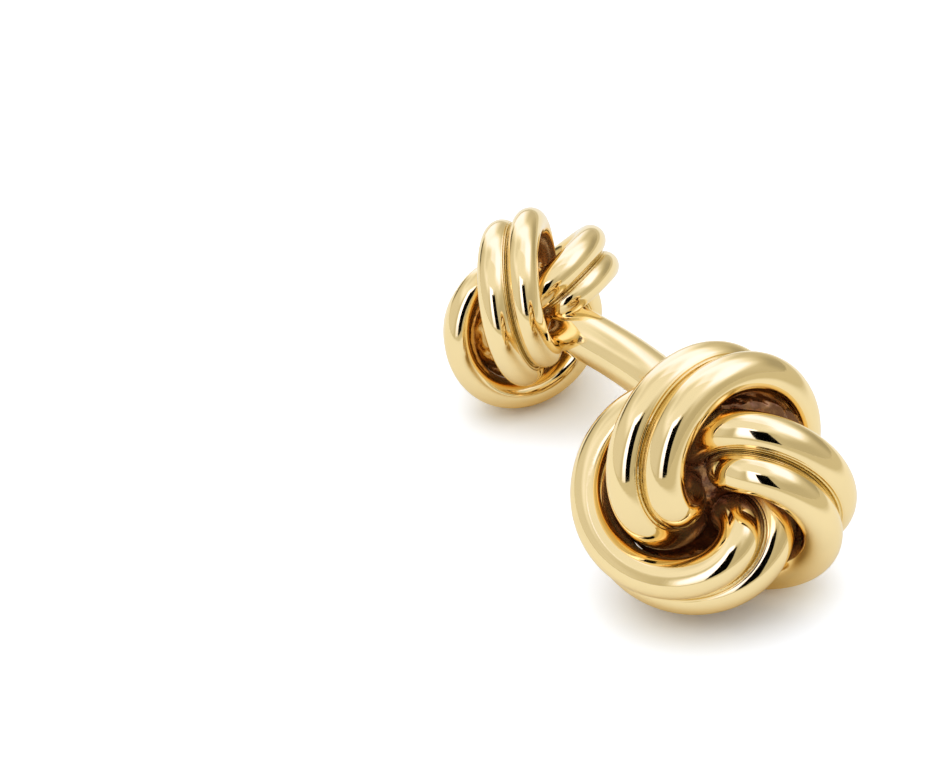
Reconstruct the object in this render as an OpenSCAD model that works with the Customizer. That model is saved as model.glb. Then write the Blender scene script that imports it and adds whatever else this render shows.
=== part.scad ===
// A rigid double-knot cufflink in polished yellow gold. A large and a small knot, each made of two
// closed round wires that run side by side, are joined by one arched round bar. The part lies as it
// does on a table: both knots touch the floor, Z is up and X runs from the large to the small knot.
// The origin is on the floor, under the middle of the bounding box. Lengths are in millimetres.

/* [Large knot] */
// Diameter over the large knot, square to its axis
knot_d = 13.5; // [12.8:0.1:14.5]
// Turn of the large knot about the bar's end, in degrees
large_phase = 42.8; // [0:0.1:120]

/* [Small knot] */
// Diameter over the small knot, square to its axis
small_knot_d = 11.1; // [10.6:0.1:12]
// Turn of the small knot about the bar's end, in degrees
small_phase = 114.7; // [0:0.1:120]

/* [Bar] */
// Diameter of the bar
bar_d = 2.6; // [1.8:0.1:2.7]
// How much thinner the bar's straight ends are than its bend
end_step = 0.04; // [0.02:0.01:0.1]
// Length of the straight ends that lies inside the bend
end_lap = 0.2; // [0.1:0.05:0.3]
// Angle through which the bar bends, in degrees
bar_turn = 56; // [40:1:60]
// Distance between the centres of the two knots
knot_spacing = 18.63; // [15:0.01:22]
// Straight run of the bar between the large knot and the bend
straight_run = 0.2; // [0.1:0.05:1]

/* [Course of a wire, as shares of the knot's radius] */
// Thickness of the wire, at which it fills the knot and touches its twin
wire_share = 0.2725; // [0.2:0.0005:0.2725]
// Mean distance of the wire from the knot's axis
ring_share = 0.493; // [0.48:0.001:0.505]
// In and out swing, once a lobe
swing_share = 0.288; // [0.27:0.001:0.3]
// In and out swing, twice a lobe
swing_twice_share = 0.049; // [0.03:0.001:0.06]
// In and out swing, three times a lobe
swing_thrice_share = 0.024; // [0:0.001:0.03]
// How much farther out the wire lies on its own side of the knot
spread_share = 0.113; // [0.1:0.001:0.125]
// Rise and fall, once a lobe
rise_share = 0.361; // [0.33:0.001:0.38]
// Rise and fall, twice a lobe
rise_twice_share = 0.071; // [0.05:0.001:0.08]
// Drop of the whole wire below the knot's middle plane
drop_share = 0.086; // [0.08:0.001:0.1]
// Dip of the wire at the rim and in the core
dip_share = 0.025; // [0:0.001:0.03]

/* [Course of a wire, in degrees round the axis] */
// Lead of the wire over the line midway between the two wires
lead_angle = 12.32; // [11:0.01:14]
// Sway round the axis, once a lobe
sway_angle = 29.68; // [27:0.01:32]
// Sway round the axis, twice a lobe
sway_twice_angle = 9.86; // [8:0.01:11]
// Shift between rim and core
skew_angle = 9.63; // [8:0.01:11]
// Shift between the middle and the two ends of a swing
skew_twice_angle = 4.07; // [3:0.01:5]
// Shift three times a lobe
skew_thrice_angle = 1.15; // [0:0.01:2]

/* [Seats of the bar, as shares of the knot's radius] */
// Height over the knot's middle at which the bar begins to narrow
nose_share = 0.54; // [0.53:0.005:0.57]
// Radius of the pin in the knot's core
pin_r_share = 0.065; // [0.04:0.001:0.068]
// Height over the knot's middle at which the pin ends
pin_end_share = 0.1; // [-0.2:0.01:0.15]
// Thickness of the solder round the nose
solder_share = 0.022; // [0.012:0.001:0.026]

/* [Rest on the table] */
// Lean of the bar's plane about the line between the knots, in degrees
lie_roll = 27.4; // [20:0.1:35]

/* [Detail] */
// Rings along one wire of the large knot
large_rings = 168; // [120:3:240]
// Rings along one wire of the small knot
small_rings = 144; // [120:3:210]
// Sides of a wire
wire_sides = 16; // [12:1:18]

/* [Hidden] */
$fn = 64;
lobes = 3;
full_turn = 360;
half_turn = full_turn / 2;
right_angle = full_turn / 4;
half = 1 / 2;
large_r = knot_d * half;
small_r = small_knot_d * half;
wire_d = large_r * wire_share;
small_wire_d = small_r * wire_share;
bar_end_r = (bar_d - end_step) * half;
end_turn = bar_turn * half;
// Angles that turn each knot's axis from Z towards the bar
large_aim = -end_turn;
small_aim = end_turn - half_turn;
// Where the bend begins, and where the lines of the bar's two ends meet, measured along them from each centre
bend_start = nose_share * large_r + straight_run;
corner_reach = knot_spacing * half / cos(end_turn);
bar_bend_r = (corner_reach - bend_start) / tan(end_turn);
bend_centre = bend_start * [cos(end_turn), -sin(end_turn)] + bar_bend_r * [sin(end_turn), cos(end_turn)];
// Outline of the bar's nose from its wide to its narrow end, as [radius, height] on a knot of radius one
nose_shares = [[0.185, 0.5], [0.12, 0.4], [0.078, 0.3], [pin_r_share, 0.25]];
// Heights of the solder's ribs over the knot's middle
solder_height_shares = [0.18, 0.25, 0.3, 0.4, 0.46];
gold = "#d8b25a";
pale_gold = "#e3c67c";

// Distance from the axis, height and angle of a wire at u degrees along its two turns round the axis
function wire_rho(u) =
    let (swing = lobes * u)
    ring_share + swing_share * cos(swing) + swing_twice_share * cos(2 * swing)
    + swing_thrice_share * cos(3 * swing) + spread_share * sin(swing);

function wire_height(u) =
    let (swing = lobes * u)
    rise_share * sin(swing) + rise_twice_share * sin(2 * swing)
    - drop_share - dip_share * cos(2 * swing);

function wire_angle(u) =
    let (swing = lobes * u)
    2 * u + lead_angle + sway_angle * sin(swing) - sway_twice_angle * sin(2 * swing)
    - skew_angle * cos(swing) + skew_twice_angle * cos(2 * swing)
    - skew_thrice_angle * cos(3 * swing);

// Centre line of a wire on a knot of radius one; the twin (side -1) is the wire turned over about X
function wire_point(u, side) =
    let (rho = wire_rho(side * u), angle = side * wire_angle(side * u))
    [rho * cos(angle), rho * sin(angle), side * wire_height(side * u)];

function unit(v) = v / norm(v);

// Two directions square to the wire, the first pointing out of the ring that the wire winds round
function wire_frame(u, side, step) =
    let (ahead = wire_point(u + step, side),
         behind = wire_point(u - step, side),
         along = unit(ahead - behind),
         here = wire_point(u, side),
         spoke = unit([here.x, here.y, 0]) * ring_share,
         out = here - spoke,
         normal = unit(out - (out * along) * along))
    [normal, cross(along, normal)];

function rot_x(a, p) = [p.x, p.y * cos(a) - p.z * sin(a), p.y * sin(a) + p.z * cos(a)];
function rot_y(a, p) = [p.x * cos(a) + p.z * sin(a), p.y, p.z * cos(a) - p.x * sin(a)];
function rot_z(a, p) = [p.x * cos(a) - p.y * sin(a), p.x * sin(a) + p.y * cos(a), p.z];

// Centre lines of each knot's wires, leaned over but not yet sloped
large_line = [
    for (side = [-1, 1], i = [0 : large_rings - 1])
        let (p = wire_point(i * full_turn / large_rings, side) * large_r)
        rot_x(lie_roll, rot_z(large_aim, rot_y(right_angle, rot_z(large_phase, p))))
];
small_line = [
    for (side = [-1, 1], i = [0 : small_rings - 1])
        let (p = wire_point(i * full_turn / small_rings, side) * small_r)
        rot_x(lie_roll, rot_z(small_aim, rot_y(right_angle, rot_z(small_phase, p))) + [knot_spacing, 0, 0])
];

// Least and greatest reach of a knot along one axis at a given slope of the whole part
function least(line, thick, k, slope) = min([for (p = line) rot_y(slope, p)[k]]) - thick * half;
function most(line, thick, k, slope) = max([for (p = line) rot_y(slope, p)[k]]) + thick * half;

// Slope of the line between the knots at which both touch the floor, found in a few rounds
function lying_slope(rounds, slope = 0) =
    rounds < 1 ? slope :
    let (gap = least(small_line, small_wire_d, 2, slope) - least(large_line, wire_d, 2, slope))
    lying_slope(rounds - 1, slope + atan(gap / knot_spacing));

slope_rounds = 6;
lie_pitch = lying_slope(slope_rounds);

// Box round both knots as they lie, from which the part is set on the floor and centred
function low(k) = min(least(large_line, wire_d, k, lie_pitch), least(small_line, small_wire_d, k, lie_pitch));
function high(k) = max(most(large_line, wire_d, k, lie_pitch), most(small_line, small_wire_d, k, lie_pitch));
rest = [-(low(0) + high(0)) * half, -(low(1) + high(1)) * half, -low(2)];

module lying() {
    translate(rest) rotate([lie_roll, lie_pitch, 0]) children();
}

// Frames with their origin at a knot's centre and Z along the knot's axis, towards the bar
module at_large() {
    lying() rotate([0, right_angle, large_aim]) children();
}

module at_small() {
    lying() translate([knot_spacing, 0, 0]) rotate([0, right_angle, small_aim]) children();
}

// One closed round wire, swept along its course
module wire(knot_r, thick, side, rings) {
    step = full_turn / rings;
    points = [
        for (i = [0 : rings - 1])
            let (u = i * step, centre = wire_point(u, side) * knot_r, frame = wire_frame(u, side, step * half))
            for (j = [0 : wire_sides - 1])
                let (a = j * full_turn / wire_sides)
                centre + thick * half * (cos(a) * frame[0] + sin(a) * frame[1])
    ];
    function at(i, j) = (i % rings) * wire_sides + j % wire_sides;
    faces = [
        for (i = [0 : rings - 1], j = [0 : wire_sides - 1])
            each [
                [at(i, j), at(i, j + 1), at(i + 1, j + 1)],
                [at(i, j), at(i + 1, j + 1), at(i + 1, j)]
            ]
    ];
    polyhedron(points = points, faces = faces, convexity = 10);
}

// The end of the bar in a knot: a straight run, a nose that narrows between the wires, and a pin
module bar_end(knot_r) {
    sides = [for (p = nose_shares) p * knot_r];
    top = bend_start + end_lap;
    shoulder = [bar_end_r, nose_share * knot_r];
    tip = [pin_r_share, pin_end_share] * knot_r;
    rotate_extrude()
        polygon(concat([[0, top], [bar_end_r, top], shoulder], sides, [tip, [0, tip.y]]));
}

// Radius of the nose at a height between two of its outline's points
function nose_r(height) = lookup(height, [for (p = nose_shares) [p.y, p.x]]);

// The collar of solder that fixes the nose to all the wires round the core
module solder(knot_r) {
    inner = [for (h = solder_height_shares) [nose_r(h), h] * knot_r];
    outer = [for (h = solder_height_shares) [nose_r(h) + solder_share, h] * knot_r];
    last = len(outer) - 1;
    rotate_extrude() polygon(concat(inner, [for (i = [last : -1 : 0]) outer[i]]));
}

module large_knot_wire_a() {
    color(gold) at_large() rotate([0, 0, large_phase]) wire(large_r, wire_d, 1, large_rings);
}

module large_knot_wire_b() {
    color(gold) at_large() rotate([0, 0, large_phase]) wire(large_r, wire_d, -1, large_rings);
}

module small_knot_wire_a() {
    color(gold) at_small() rotate([0, 0, small_phase]) wire(small_r, small_wire_d, 1, small_rings);
}

module small_knot_wire_b() {
    color(gold) at_small() rotate([0, 0, small_phase]) wire(small_r, small_wire_d, -1, small_rings);
}

module bar() {
    color(gold) {
        at_large() bar_end(large_r);
        at_small() bar_end(small_r);
        lying() translate(bend_centre) rotate([0, 0, -right_angle - end_turn])
            rotate_extrude(angle = bar_turn) translate([bar_bend_r, 0]) circle(d = bar_d);
    }
}

module large_solder() {
    color(pale_gold) at_large() solder(large_r);
}

module small_solder() {
    color(pale_gold) at_small() solder(small_r);
}

large_knot_wire_a();
large_knot_wire_b();
small_knot_wire_a();
small_knot_wire_b();
bar();
large_solder();
small_solder();
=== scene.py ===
"""A rigid double-knot cufflink in polished yellow gold, lying on a pale table.

Two knots, a large face and a small back, are each laid from two closed round wires and joined by one
arched bar. The script follows the link as it is made: wires, bar, solder, then the table and its light.
All lengths are in metres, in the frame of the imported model: Z up, X from the large to the small knot.
"""

import math

import bpy
from mathutils import Matrix, Vector


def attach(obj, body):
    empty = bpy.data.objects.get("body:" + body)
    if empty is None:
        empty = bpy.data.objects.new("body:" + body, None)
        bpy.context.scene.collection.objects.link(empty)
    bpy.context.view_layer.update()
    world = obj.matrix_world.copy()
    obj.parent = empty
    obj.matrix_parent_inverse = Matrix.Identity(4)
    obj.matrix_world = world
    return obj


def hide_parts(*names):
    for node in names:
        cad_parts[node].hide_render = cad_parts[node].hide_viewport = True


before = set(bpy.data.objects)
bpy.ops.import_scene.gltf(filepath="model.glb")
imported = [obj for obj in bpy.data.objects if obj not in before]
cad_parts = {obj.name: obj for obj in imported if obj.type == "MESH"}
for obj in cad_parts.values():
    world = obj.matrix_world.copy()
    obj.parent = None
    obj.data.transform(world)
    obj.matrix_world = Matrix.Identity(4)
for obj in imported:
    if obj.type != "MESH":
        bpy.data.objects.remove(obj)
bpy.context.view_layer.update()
MM = 0.001


# The wires of the knots
# Each knot is laid from two closed rings of round gold wire that run side by side in three lobes. The
# second ring is the first one turned over. They are drawn smooth, bent round a former and polished.

class Socket:
    """One output of a node. Python's operators on it add the maths nodes to its tree."""

    def __init__(self, tree, source):
        self.tree = tree
        self.source = source

    def node(self, kind, settings=None, inputs=None, output=0):
        """Adds a node to the tree: first its settings, then the values or links of its sockets."""
        made = self.tree.nodes.new(kind)
        for name, value in (settings or {}).items():
            setattr(made, name, value)
        for key, value in (inputs or {}).items():
            if isinstance(value, Socket):
                self.tree.links.new(value.source, made.inputs[key])
            else:
                made.inputs[key].default_value = value
        return Socket(self.tree, made.outputs[output])

    def maths(self, operation, *values):
        return self.node("ShaderNodeMath", {"operation": operation}, dict(enumerate(values)))

    def __add__(self, other):
        return self.maths("ADD", self, other)

    def __radd__(self, other):
        return self.maths("ADD", other, self)

    def __sub__(self, other):
        return self.maths("SUBTRACT", self, other)

    def __rsub__(self, other):
        return self.maths("SUBTRACT", other, self)

    def __mul__(self, other):
        return self.maths("MULTIPLY", self, other)

    def __rmul__(self, other):
        return self.maths("MULTIPLY", other, self)

    def __truediv__(self, other):
        return self.maths("DIVIDE", self, other)

    def __pow__(self, other):
        return self.maths("POWER", self, other)

    def sin(self):
        return self.maths("SINE", self)

    def cos(self):
        return self.maths("COSINE", self)

    def at_least(self, other):
        return self.maths("MAXIMUM", self, other)

    def at_most(self, other):
        return self.maths("MINIMUM", self, other)

    def ramp(self, low, high):
        """0 below low, 1 above high, and a smooth rise between them."""
        settings = {"interpolation_type": "SMOOTHSTEP"}
        return self.node("ShaderNodeMapRange", settings, {"Value": self, "From Min": low, "From Max": high})

    def blend(self, first, second):
        """Mixes two colours, with this socket as the share of the second."""
        first, second = (tone if isinstance(tone, Socket) else (*tone, 1) for tone in (first, second))
        return self.node("ShaderNodeMix", {"data_type": "RGBA"}, {0: self, 6: first, 7: second}, output=2)


def geometry_tree(name, sizes):
    """A geometry tree with named inputs, and the sockets that give their values."""
    tree = bpy.data.node_groups.new(name, "GeometryNodeTree")
    tree.interface.new_socket("Geometry", in_out="OUTPUT", socket_type="NodeSocketGeometry")
    for label, kind in sizes.items():
        tree.interface.new_socket(label, in_out="INPUT", socket_type=kind)
    entry = tree.nodes.new("NodeGroupInput")
    return tree, {label: Socket(tree, entry.outputs[label]) for label in sizes}


def close_tree(shape, material):
    """Ends a geometry tree in plain, smooth, finished geometry."""
    smooth = shape.node("GeometryNodeSetShadeSmooth", None, {"Geometry": shape})
    plain = shape.node("GeometryNodeRealizeInstances", None, {"Geometry": smooth})
    done = shape.node("GeometryNodeSetMaterial", None, {"Geometry": plain, "Material": material})
    shape.tree.links.new(done.source, shape.tree.nodes.new("NodeGroupOutput").inputs[0])


def grown(name, tree, sizes):
    """The plain mesh that a geometry tree gives for these sizes, as an object."""
    seed = bpy.data.objects.new(name + "_seed", bpy.data.meshes.new(name + "_seed"))
    bpy.context.scene.collection.objects.link(seed)
    modifier = seed.modifiers.new("Growth", "NODES")
    modifier.node_group = tree
    for item in tree.interface.items_tree:
        if item.in_out == "INPUT":
            modifier[item.identifier] = sizes[item.name]
    graph = bpy.context.evaluated_depsgraph_get()
    mesh = bpy.data.meshes.new_from_object(seed.evaluated_get(graph), depsgraph=graph)
    bpy.data.objects.remove(seed)
    mesh.name = name
    piece = bpy.data.objects.new(name, mesh)
    bpy.context.scene.collection.objects.link(piece)
    return piece


LOBES = 3
TURNS = 2                   # times that a wire goes round its knot's axis before it closes
FULL_TURN = 2 * math.pi
WIRE_SHARE = 0.288          # thickness of a wire over its knot's radius, with its twin fused to it
# The course of a wire on a knot of radius one: swings of a sine or cosine, up to three times in each lobe
RING, SWING, SWING_TWICE, SWING_THRICE, SPREAD = 0.493, 0.288, 0.049, 0.024, 0.113
RISE, RISE_TWICE, DROP, DIP = 0.361, 0.071, 0.086, 0.025
LEAD, SWAY, SWAY_TWICE = map(math.radians, (12.32, 29.68, 9.86))
SKEW, SKEW_TWICE, SKEW_THRICE = map(math.radians, (9.63, 4.07, 1.15))


def wire_course(rings, side):
    """The closed centre line of a wire on a knot of radius one; side -1 is the turned-over twin."""
    index = rings.node("GeometryNodeInputIndex")
    turn = index * FULL_TURN / rings * side
    swing = turn * LOBES
    once, twice, thrice = swing.cos(), (swing * 2).cos(), (swing * 3).cos()
    leap, leap_twice = swing.sin(), (swing * 2).sin()
    rho = RING + once * SWING + twice * SWING_TWICE + thrice * SWING_THRICE + leap * SPREAD
    height = leap * RISE + leap_twice * RISE_TWICE - DROP - twice * DIP
    angle = (turn * TURNS + LEAD + leap * SWAY - leap_twice * SWAY_TWICE
             - once * SKEW + twice * SKEW_TWICE - thrice * SKEW_THRICE) * side
    place = rings.node("ShaderNodeCombineXYZ", None, {
        0: rho * angle.cos(), 1: rho * angle.sin(), 2: height * side})
    circle = rings.node("GeometryNodeCurvePrimitiveCircle", None, {"Resolution": rings})
    return rings.node("GeometryNodeSetPosition", None, {"Geometry": circle, "Position": place})


FEELERS = 24                # directions in which a point on a wire feels for metal near it
FEELER_LIFT = 0.02 * MM     # how far over the skin a feeler starts
EVENING = 24                # steps that even out what the feelers found


def spread_over_sphere(step, steps):
    """One of a number of directions spread evenly over a sphere, on a spiral."""
    height = 1 - (2 * step + 1) / steps
    turn = step * math.pi * (3 - math.sqrt(5))
    across = math.sqrt(1 - height * height)
    return across * math.cos(turn), across * math.sin(turn), height


def scaled(curve, radius):
    """A curve drawn on a knot of radius one, at the knot's real radius."""
    return curve.node("GeometryNodeTransform", None, {"Geometry": curve, "Scale": radius})


def kept(shape, label, value):
    """A shape that keeps a value at each of its points, for its material to read."""
    return shape.node("GeometryNodeStoreNamedAttribute", {"data_type": "FLOAT", "domain": "POINT"},
                      {"Geometry": shape, "Name": label, "Value": value})


def wire_tree(material):
    """Sweeps a wire along its course, and keeps on its surface the gap to its twin and how open it lies."""
    tree, size = geometry_tree("Knot wire", {
        "Knot radius": "NodeSocketFloat", "Side": "NodeSocketFloat",
        "Rings": "NodeSocketInt", "Round": "NodeSocketInt"})
    radius, side, rings = size["Knot radius"], size["Side"], size["Rings"]
    wire_radius = radius * WIRE_SHARE / 2
    own = scaled(wire_course(rings, side), radius)
    twin = scaled(wire_course(rings, side * -1), radius)
    section = own.node("GeometryNodeCurvePrimitiveCircle", None, {
        "Resolution": size["Round"], "Radius": wire_radius})
    skin = own.node("GeometryNodeCurveToMesh", None, {"Curve": own, "Profile Curve": section})
    twin_skin = own.node("GeometryNodeCurveToMesh", None, {"Curve": twin, "Profile Curve": section})
    twin_line = own.node("GeometryNodeCurveToMesh", None, {"Curve": twin})
    distance = own.node(
        "GeometryNodeProximity", {"target_element": "EDGES"}, {0: twin_line}, output="Distance")
    both = own.node("GeometryNodeJoinGeometry")
    for part in (skin, twin_skin):
        tree.links.new(part.source, both.source.node.inputs[0])
    outward = own.node("GeometryNodeInputNormal")
    start = own.node("ShaderNodeVectorMath", {"operation": "MULTIPLY_ADD"}, {
        0: outward, 1: (FEELER_LIFT,) * 3, 2: own.node("GeometryNodeInputPosition")})
    shaded = 0
    for step in range(FEELERS):
        lean = own.node("ShaderNodeVectorMath", None, {0: outward, 1: spread_over_sphere(step, FEELERS)})
        shaded = own.node("GeometryNodeRaycast", {"data_type": "FLOAT"}, {
            "Target Geometry": both, "Source Position": start, "Ray Direction": lean,
            "Ray Length": radius}, output="Is Hit") + shaded
    open_share = own.node("GeometryNodeBlurAttribute", None, {
        "Value": 1 - shaded / FEELERS, "Iterations": EVENING})
    skin = kept(skin, "gap", distance / wire_radius - 1)
    skin = kept(skin, "open", open_share)
    close_tree(skin, material)
    return tree


GOLD = (0.98, 0.79, 0.43)
CLOUD_SHADE = 0.97          # how much of its lightness the gold keeps in its darker clouds
# Painted light in the gold: a warm bounce on metal that lies half hidden, and shade in the hollows
WARM_PAINTED_BOUNCE = (0.92, 0.62, 0.2)
PAINTED_HOLLOW_SHADE = (0.42, 0.19, 0.08)
SMALL_PAINTED_HOLLOW_SHADE = (0.62, 0.36, 0.14)        # the small knot's hollows are shallow and get more light, so their painted shade is lighter
GROOVE_PAINTED_SHADE_AND_REFLECTION = (0.66, 0.5, 0.19), (0.95, 0.76, 0.34)     # the dark and the bright lines along a groove: painted shade and painted reflections
# Each look fades in between two values of the gap to the twin, over the wire's radius, or of how open
# the metal lies
GROOVE_GAP, LINE_GAP = (0.12, 0.46), (0.2, 0.46)
GROOVE_OPEN, RIM_OPEN, HOLLOW_OPEN = (0.1, 0.24), (0.35, 0.75), (0.12, 0.42)
GROOVE_COVER, RIM_COVER = 0.8, 0.85         # how strongly the grooves' painted colours and the painted warm bounce show
LINE_PACE = 42              # waves of the groove's painted reflected lines and drawn relief, for each wire radius of gap, times two pi
POLISHED, WHEEL_BLUR, HOLLOW_BLUR = 0.045, 0.03, 0.2    # roughness, and what wheel marks and hollows add
HOLLOW_DULL = 0.35          # how much less metallic a hollow is, for the film the wheel left there
# Widths of the wheel's swirls and crossing marks, of the gold's clouds, of the waves left by the bending,
# and of the solder flowed into the grooves and its grains
SWIRLS, CROSSES, CLOUDS, WAVES, FLOWS, GRAINS = (size * MM for size in (0.6, 0.5, 2.5, 1.8, 2.2, 0.09))
RELIEF = 0.012 * MM         # height of the waves
MARK_RELIEF, FLOW_RELIEF, LINE_RELIEF = 0.02, 4, 1.4    # heights of the others over that of the waves


def polished_gold(name, hollow_shade_colour, marks):
    """Polished gold: pale on high metal, with painted warm bounce and painted shade where the metal lies
    hidden, duller there where the wheel can't reach, with wheel marks, and painted groove shade and reflected
    lines.
    """
    material = bpy.data.materials.new(name)
    material.use_nodes = True
    tree = material.node_tree
    tree.nodes.clear()
    shader = tree.nodes.new("ShaderNodeBsdfPrincipled")
    finish = tree.nodes.new("ShaderNodeOutputMaterial")
    tree.links.new(shader.outputs[0], finish.inputs[0])
    place = Socket(tree, tree.nodes.new("ShaderNodeTexCoord").outputs["Object"])
    gap = place.node("ShaderNodeAttribute", {"attribute_name": "gap"}, output="Fac")
    free = place.node("ShaderNodeAttribute", {"attribute_name": "open"}, output="Fac")

    def noise(grain, detail=2.0, stretch=(1, 1, 1)):
        """Noise with features of the given size in metres, drawn out along the axes by stretch."""
        spread = place.node("ShaderNodeMapping", None, {"Vector": place, "Scale": stretch})
        return place.node("ShaderNodeTexNoise", None, {
            "Vector": spread, "Scale": 1 / grain, "Detail": detail})

    seam = (1 - gap.ramp(*GROOVE_GAP)) * free.ramp(*GROOVE_OPEN)
    rim = 1 - free.ramp(*RIM_OPEN)
    hollow = 1 - free.ramp(*HOLLOW_OPEN)
    swirl = noise(SWIRLS, 3.0, (1, 1, 6)).ramp(0.35, 0.75)
    cross = noise(CROSSES, 3.0, (5, 1, 1)).ramp(0.35, 0.8)
    cloud = noise(CLOUDS).ramp(0.35, 0.65)
    lines = (gap * LINE_PACE).sin()
    pale = cloud.blend(GOLD, [CLOUD_SHADE * part for part in GOLD])
    # Painted warm bounce where the metal lies half hidden, and painted shade in its hollows
    warm = (rim * RIM_COVER).blend(pale, WARM_PAINTED_BOUNCE)
    deep = hollow.blend(warm, hollow_shade_colour)
    # Painted groove shade, crossed by painted reflected lines
    tone = (seam * GROOVE_COVER).blend(deep, lines.ramp(-0.8, 0.8).blend(*GROOVE_PAINTED_SHADE_AND_REFLECTION))
    tree.links.new(tone.source, shader.inputs["Base Color"])
    rough = POLISHED + marks * (swirl * WHEEL_BLUR + cross * WHEEL_BLUR) + hollow * HOLLOW_BLUR
    tree.links.new(rough.source, shader.inputs["Roughness"])
    tree.links.new((1 - hollow * HOLLOW_DULL).source, shader.inputs["Metallic"])
    wave = noise(WAVES, 1.0)
    drawn = lines * (1 - gap.ramp(*LINE_GAP))
    flowed = seam * noise(FLOWS, 1.0).ramp(0.5, 0.62) * noise(GRAINS, 3.0)
    height = wave + marks * (swirl + cross) * MARK_RELIEF + flowed * FLOW_RELIEF + drawn * LINE_RELIEF
    bump = place.node("ShaderNodeBump", None, {"Strength": 1.0, "Distance": RELIEF, "Height": height})
    tree.links.new(bump.source, shader.inputs["Normal"])
    return material


knot_gold = {
    "large": polished_gold("polished_large_knot_gold", PAINTED_HOLLOW_SHADE, marks=1.0),
    "small": polished_gold("polished_small_knot_gold", SMALL_PAINTED_HOLLOW_SHADE, marks=1.2)}

# Where the knots lie: the line between them slopes to the smaller one, and the bar's plane leans over it
LARGE_RADIUS = 6.75 * MM
SMALL_RADIUS = 5.55 * MM
LARGE_PHASE, SMALL_PHASE = math.radians(42.8), math.radians(114.7)
BAR_TURN, LIE_ROLL, LIE_SLOPE = map(math.radians, (56, 27.4, 2.6134))
KNOT_SPACING = 18.63 * MM
lying = Matrix.Rotation(LIE_SLOPE, 4, "Y") @ Matrix.Rotation(LIE_ROLL, 4, "X")
square_on = Matrix.Rotation(math.pi / 2, 4, "Y")
large_way = Matrix.Rotation(-BAR_TURN / 2, 4, "Z")
small_way = Matrix.Rotation(BAR_TURN / 2 - math.pi, 4, "Z")
at_large = lying @ large_way @ square_on
at_small = lying @ Matrix.Translation((KNOT_SPACING, 0, 0)) @ small_way @ square_on

WIRE_ROUND = 56             # points round a wire
wires = []
for knot, radius, phase, stand, rings in (("large", LARGE_RADIUS, LARGE_PHASE, at_large, 900),
                                          ("small", SMALL_RADIUS, SMALL_PHASE, at_small, 780)):
    knot_wires = wire_tree(knot_gold[knot])
    for letter, side in (("a", 1.0), ("b", -1.0)):
        sizes = {"Knot radius": radius, "Side": side, "Rings": rings, "Round": WIRE_ROUND}
        wire = grown(f"polished_{knot}_wire_{letter}", knot_wires, sizes)
        wire.data.transform(stand @ Matrix.Rotation(phase, 4, "Z"))
        wires.append((wire, f"{knot}_knot_wire_{letter}", f"{knot}_knot_gold"))

# The link rests with its lowest lobes on the table and its box centred over the origin
corners = [vertex.co for wire, node, slot in wires for vertex in wire.data.vertices]
lows, highs = ([pick(c[k] for c in corners) for k in range(3)] for pick in (min, max))
rest = Matrix.Translation((-(lows[0] + highs[0]) / 2, -(lows[1] + highs[1]) / 2, -lows[2]))
for wire, node, slot in wires:
    wire.data.transform(rest)
    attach(wire, "root")
    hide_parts(node)


# The bar
# One round gold bar, bent to an arch and polished. Each end narrows to a nose and a pin that pass
# between the wires into a knot's core, where they are soldered.

BAR_RADIUS = 1.3 * MM
STRAIGHT_RUN = 0.2 * MM     # from the nose's top to the start of the bend
# Heights over a knot's middle, and the pin's radius, as shares of the knot's radius
PIN_SHARE, NOSE_FOOT_SHARE, NOSE_TOP_SHARE = 0.1, 0.2, 0.54
PIN_RADIUS_SHARE = 0.065
NOSE_FLARE, NOSE_CURVE = 0.72, 0.8          # how much and how fast the nose widens from its foot
OPEN_THICK = (0.3, 0.95)    # shares of the bar's thickness between which the nose comes into the open
BAR_RINGS, BAR_ROUND = 500, 96


def bar_tree(material):
    """Sweeps the bar along its arch with the radius of nose and pin at each end."""
    tree, size = geometry_tree("Arched bar", {
        "Length": "NodeSocketFloat", "Bend radius": "NodeSocketFloat", "Bend start": "NodeSocketFloat",
        "Turn": "NodeSocketFloat", "Bar radius": "NodeSocketFloat", "Large radius": "NodeSocketFloat",
        "Small radius": "NodeSocketFloat", "Rings": "NodeSocketInt", "Round": "NodeSocketInt"})
    bend, start, turn = size["Bend radius"], size["Bend start"], size["Turn"]
    index = bend.node("GeometryNodeInputIndex")
    run = index / (size["Rings"] - 1) * size["Length"]
    arc = ((run - start) / bend).at_least(0).at_most(turn)
    past = run - start - arc * bend
    across = run.node("ShaderNodeCombineXYZ", None, {
        0: start + arc.sin() * bend + arc.cos() * past, 1: (1 - arc.cos()) * bend + arc.sin() * past})
    line = run.node("GeometryNodeCurvePrimitiveLine")
    line = run.node("GeometryNodeResampleCurve", None, {"Curve": line, "Count": size["Rings"]})
    line = run.node("GeometryNodeSetPosition", None, {"Geometry": line, "Position": across})

    def nose(height, knot_radius):
        """Radius of the bar at a height over a knot's middle."""
        flare = (height / knot_radius - NOSE_FOOT_SHARE).at_least(0) ** NOSE_CURVE * NOSE_FLARE
        return knot_radius * (PIN_RADIUS_SHARE + flare)

    ends = nose(run + PIN_SHARE * size["Large radius"], size["Large radius"]).at_most(
        nose(size["Length"] - run + PIN_SHARE * size["Small radius"], size["Small radius"]))
    thick = ends.at_most(size["Bar radius"])
    line = kept(line, "gap", 1.0)
    # The nose counts as hidden metal where it narrows, so the painted hollow shade falls on it
    line = kept(line, "open", (thick / size["Bar radius"]).ramp(*OPEN_THICK))
    section = run.node("GeometryNodeCurvePrimitiveCircle", None, {"Resolution": size["Round"], "Radius": 1.0})
    skin = run.node("GeometryNodeCurveToMesh", None, {
        "Curve": line, "Profile Curve": section, "Scale": thick, "Fill Caps": True})
    close_tree(skin, material)
    return tree


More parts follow.
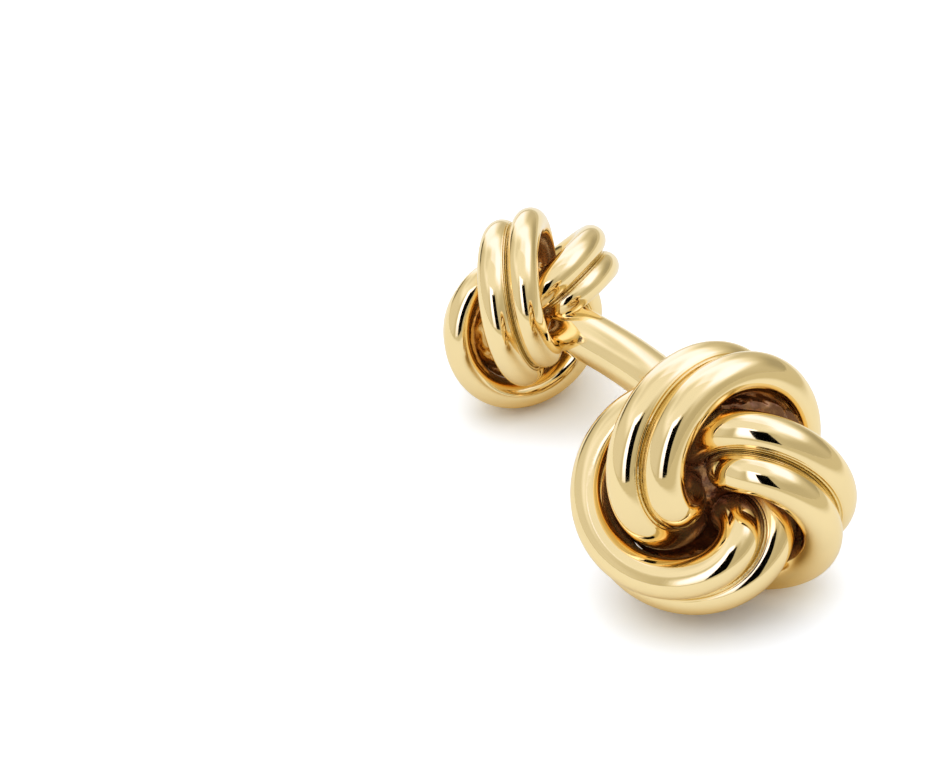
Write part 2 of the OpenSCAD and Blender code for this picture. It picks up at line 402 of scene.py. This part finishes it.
bar_gold = polished_gold("polished_bar_gold", PAINTED_HOLLOW_SHADE, marks=1.4)
bend_start = NOSE_TOP_SHARE * LARGE_RADIUS + STRAIGHT_RUN
bend_radius = (KNOT_SPACING / 2 / math.cos(BAR_TURN / 2) - bend_start) / math.tan(BAR_TURN / 2)
pin_start = PIN_SHARE * LARGE_RADIUS
pin_end = PIN_SHARE * SMALL_RADIUS
bar_length = 2 * bend_start + bend_radius * BAR_TURN - pin_start - pin_end
bar = grown("polished_bar", bar_tree(bar_gold), {
    "Length": bar_length, "Bend radius": bend_radius, "Bend start": bend_start - pin_start, "Turn": BAR_TURN,
    "Bar radius": BAR_RADIUS, "Large radius": LARGE_RADIUS, "Small radius": SMALL_RADIUS,
    "Rings": BAR_RINGS, "Round": BAR_ROUND})
bar.data.transform(rest @ lying @ large_way @ Matrix.Translation((pin_start, 0, 0)))
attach(bar, "root")
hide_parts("bar")


# The solder
# A pool of gold solder flowed round each nose, deep between the wires of the core. It is left as it
# set, satin and uneven, and painted dark as shade, since little light reaches it; the pools also fill the
# core's gaps, where they stand partly for that shade.

SWELLS = 2.2                # how many swells lie along a pool's radius
SWELL_LEAST, SWELL_RANGE = 0.88, 0.24       # a pool's radius over its reach, and what a swell adds
SOLDER_GRAINS, SOLDER_RELIEF = 0.7 * MM, 0.09 * MM
SOLDER_SMOOTH, SOLDER_BLUR = 0.04, 0.2      # roughness, and what the grain adds


def pool_tree(material):
    """A flat lump of solder across the core of a knot, on the bar's side of its middle, wide enough to close
    the core's gaps, where it stands partly for shade.
    """
    tree, size = geometry_tree("Solder pool", {"Reach": "NodeSocketVector", "Centre": "NodeSocketVector"})
    ball = size["Reach"].node("GeometryNodeMeshIcoSphere", None, {"Radius": 1.0, "Subdivisions": 6})
    spot = ball.node("GeometryNodeInputPosition")
    swell = ball.node("ShaderNodeTexNoise", None, {"Vector": spot, "Scale": SWELLS, "Detail": 3.0})
    lump = ball.node("ShaderNodeVectorMath", {"operation": "MULTIPLY"}, {0: spot, 1: size["Reach"]})
    lump = ball.node("ShaderNodeVectorMath", {"operation": "SCALE"}, {
        0: lump, "Scale": SWELL_LEAST + swell * SWELL_RANGE})
    lump = ball.node("ShaderNodeVectorMath", None, {0: lump, 1: size["Centre"]})
    close_tree(ball.node("GeometryNodeSetPosition", None, {"Geometry": ball, "Position": lump}), material)
    return tree


def flowed_solder(name, shaded, lit, dull):
    """Gold solder with an uneven set skin, dulled by what is left of the flux."""
    material = bpy.data.materials.new(name)
    material.use_nodes = True
    tree = material.node_tree
    shader = tree.nodes["Principled BSDF"]
    place = Socket(tree, tree.nodes.new("ShaderNodeTexCoord").outputs["Object"])
    grain = place.node("ShaderNodeTexNoise", None, {
        "Vector": place, "Scale": 1 / SOLDER_GRAINS, "Detail": 3.0})
    # The grain mixes the painted shaded tone with the painted lit one
    tree.links.new(grain.ramp(0.45, 0.75).blend(shaded, lit).source, shader.inputs["Base Color"])
    tree.links.new((SOLDER_SMOOTH + grain * SOLDER_BLUR).source, shader.inputs["Roughness"])
    shader.inputs["Metallic"].default_value = 1 - dull
    shader.inputs["Coat Weight"].default_value = dull * 2
    bump = place.node("ShaderNodeBump", None, {"Strength": 1.0, "Distance": SOLDER_RELIEF, "Height": grain})
    tree.links.new(bump.source, shader.inputs["Normal"])
    return material


# Each pool's reach and centre over its knot's radius, its painted shaded and lit colours, and how dull the
# flux has left it
for knot, radius, stand, reach, centre, shaded, lit, dull in (
        ("large", LARGE_RADIUS, at_large,
         (0.72, 0.72, 0.18), (0, 0, 0.1), (0.22, 0.09, 0.035), (0.44, 0.22, 0.08), 0.25),
        ("small", SMALL_RADIUS, at_small,
         (0.54, 0.54, 0.42), (0.13, -0.06, -0.14), (0.6, 0.36, 0.12), (0.85, 0.62, 0.28), 0.0)):
    pool = grown(f"{knot}_solder_and_shade_pool", pool_tree(flowed_solder(f"{knot}_solder", shaded, lit, dull)), {
        "Reach": Vector(reach) * radius, "Centre": Vector(centre) * radius})
    pool.data.transform(rest @ stand)
    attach(pool, "root")
    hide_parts(f"{knot}_solder")


# The table
# A plain white board under the link. It is white to the eye where nothing shades it, keeps a soft warm
# shadow round the metal, partly lit and partly painted shadow, and shows in the gold as paler or darker
# ground, with painted shade far off and a painted warm bounce near the metal.

BOARD_HALF = 1.5
SHADOW_REACH, MIRRORED_REACH = 5 * MM, 9 * MM           # how far from the metal the painted shadow and the painted warm bounce reach
SHADOW_OPEN = (0.2, 0.9)
# The board to the eye away from the metal, and with its painted shadow near it
BOARD_WHITE, BOARD_SHADE = (1.4, 1.47, 1.6), (1.12, 1.15, 1.14)
# The board in the gold: plain, with painted shade far off and a painted warm bounce near the metal
MIRRORED_WHITE, MIRRORED_FAR_SHADE, MIRRORED_WARM_BOUNCE = (0.95, 0.95, 0.93), (0.66, 0.62, 0.5), (0.95, 0.77, 0.42)
FAR_LEAN = (0.7, 0.7, 0)    # the far ground's painted shade is darkest opposite to this way
FAR_REACH = (55 * MM, 90 * MM)


def board():
    """A large level sheet at the height on which the link lies."""
    mesh = bpy.data.meshes.new("board")
    corners = [(across * BOARD_HALF, along * BOARD_HALF, 0)
               for across, along in ((-1, -1), (1, -1), (1, 1), (-1, 1))]
    mesh.from_pydata(corners, [], [(0, 1, 2, 3)])
    made = bpy.data.objects.new("board", mesh)
    bpy.context.scene.collection.objects.link(made)
    material = bpy.data.materials.new("white_board")
    material.use_nodes = True
    tree = material.node_tree
    tree.nodes.clear()
    out = tree.nodes.new("ShaderNodeOutputMaterial")
    path = tree.nodes.new("ShaderNodeLightPath")
    seen = Socket(tree, path.outputs["Is Camera Ray"])
    free = seen.node("ShaderNodeAmbientOcclusion", None, {
        "Distance": MIRRORED_REACH - seen * (MIRRORED_REACH - SHADOW_REACH)}, output="AO")
    near = 1 - free.ramp(*SHADOW_OPEN)
    place = Socket(tree, tree.nodes.new("ShaderNodeTexCoord").outputs["Object"])
    reach = place.node("ShaderNodeVectorMath", {"operation": "LENGTH"}, {0: place}, output="Value")
    lean = place.node(
        "ShaderNodeVectorMath", {"operation": "DOT_PRODUCT"}, {0: place, 1: FAR_LEAN}, output="Value")
    # For the gold, painted shade far off and painted warm bounce near the metal; for the eye, painted shadow
    # near it
    mirrored = (reach - lean).ramp(*FAR_REACH).blend(MIRRORED_WHITE, MIRRORED_FAR_SHADE)
    mirrored = near.blend(mirrored, MIRRORED_WARM_BOUNCE)
    tone = seen.blend(mirrored, near.blend(BOARD_WHITE, BOARD_SHADE))
    paper = seen.node("ShaderNodeBsdfDiffuse", None, {"Color": tone})
    tree.links.new(paper.source, out.inputs[0])
    mesh.materials.append(material)
    return made


board()


# The light
# A white studio tent that only the gold sees in its parts: bright panels overhead and on the far side,
# dimmer cloth near the table, and one black gap that shows as dark streaks. All else gets plain light.

CLOTH, CLOTH_RISE = 0.58, 0.54              # level of the tent's cloth at the table, and its gain overhead
PLAIN, PLAIN_RISE = 0.46, (0.35, 1.0)       # level of the plain light, and heights between which it gains 1
FACING = (0.02, 0.05)       # a panel shows only to ways that turn toward it by more than this
DIM, DIM_TINT = (0.5, 0.95), (1, 0.93, 0.74)            # levels over which dim cloth loses its warm tint
BRIGHT, BRIGHT_TINT = (0.9, 1.3), (1, 1.03, 1.5)        # levels over which a lit panel takes on its cool one
WHITE = (1, 1, 1)
# Each panel's middle in degrees round from +X and over the table, its width and height in degrees, the
# softness of its edges across and upright, and how bright the gold sees it; later ones lie over earlier ones
PANELS = (
    (-30, 55, 64, 32, (0.6, 0.7), 1.25),
    (-10, 20, 40, 48, (0.6, 0.5), 1.2),
    (-114, 50, 46, 36, (0.6, 0.6), 1.35),
    (78, 52, 50, 26, (0.7, 0.7), 1.04),
    (38, 62, 36, 30, (0.6, 0.6), 0.8),
    (75, 15, 80, 40, (0.5, 0.5), 0.75),
    (-165, 8, 60, 38, (0.6, 0.6), 0.54),
    (146, 21, 60, 60, (0.35, 0.35), 0.58),
    (135, 22, 22, 60, (0.4, 0.06), 1.05),
    (136, 38, 22, 50, (0.5, 0.7), 1.8),
    (132, 72, 50, 40, (0.5, 0.06), 0.92),
    (153, 18, 23, 52, (0.04, 0.05), 0.0),
    (-82, 7, 40, 26, (0.7, 0.7), 0.42),
    (17, 2, 24, 16, (0.5, 0.5), 0.1),
)


def heading(azimuth, elevation):
    """The direction at an angle round from +X and an angle over the table, in degrees."""
    a, e = math.radians(azimuth), math.radians(elevation)
    return Vector((math.cos(a) * math.cos(e), math.sin(a) * math.cos(e), math.sin(e)))


def tent():
    """The world: what the gold mirrors, and even white light for all else."""
    world = bpy.data.worlds.new("tent")
    bpy.context.scene.world = world
    world.use_nodes = True
    tree = world.node_tree
    tree.nodes.clear()
    out = tree.nodes.new("ShaderNodeOutputWorld")
    way = Socket(tree, tree.nodes.new("ShaderNodeTexCoord").outputs["Generated"])
    up = way.node("ShaderNodeSeparateXYZ", None, {0: way}, output=2)

    def along(direction):
        return way.node(
            "ShaderNodeVectorMath", {"operation": "DOT_PRODUCT"}, {0: way, 1: direction}, output="Value")

    def panel(azimuth, elevation, width, height, soft):
        """Mask of a flat panel that stands square to its heading."""
        ahead = heading(azimuth, elevation)
        turned = ahead.to_track_quat("Z", "Y")
        right, above = turned @ Vector((1, 0, 0)), turned @ Vector((0, 1, 0))
        facing = along(ahead)
        mask = facing.ramp(*FACING)
        for axis, size, edge in ((right, width, soft[0]), (above, height, soft[1])):
            half = math.tan(math.radians(size) / 2)
            off = way.maths("ABSOLUTE", along(axis) / facing.at_least(FACING[0]))
            mask = mask * (1 - off.ramp(half * (1 - edge), half * (1 + edge)))
        return mask

    light = CLOTH + up.at_least(0) ** 2 * CLOTH_RISE
    for *where, level in PANELS:
        light = light + panel(*where) * (level - light)
    path = tree.nodes.new("ShaderNodeLightPath")
    glossy = Socket(tree, path.outputs["Is Glossy Ray"])
    plain = PLAIN + up.ramp(*PLAIN_RISE)
    strength = plain + glossy * (light - plain)
    tint = light.ramp(*DIM).blend(DIM_TINT, WHITE)
    tint = glossy.blend(WHITE, light.ramp(*BRIGHT).blend(tint, BRIGHT_TINT))
    glow = way.node("ShaderNodeBackground", None, {"Color": tint, "Strength": strength})
    tree.links.new(glow.source, out.inputs[0])


tent()


# The camera
# It stands where the photograph was taken from: over the large knot, looking down across both knots with
# the bar running away to the left.

AIM = Vector((6.3, 5.42, 4.99)) * MM
BACK = heading(157.59, 36.82)               # from the aim to the camera
DISTANCE = 141.56 * MM
TILT = math.radians(-7.04)
FOCAL_LENGTH, SENSOR_WIDTH = 108.96, 36     # these two in the camera's own millimetres
camera = bpy.data.cameras.new("camera")
camera.sensor_width = SENSOR_WIDTH
camera.lens = FOCAL_LENGTH
camera.clip_start = 10 * MM
camera.clip_end = 10
eye = bpy.data.objects.new("camera", camera)
bpy.context.scene.collection.objects.link(eye)
eye.rotation_mode = "QUATERNION"
eye.rotation_quaternion = BACK.to_track_quat("Z", "Y") @ Matrix.Rotation(TILT, 3, "Z").to_quaternion()
eye.location = AIM + BACK * DISTANCE
bpy.context.scene.camera = eye
bpy.context.scene.view_settings.view_transform = "Standard"
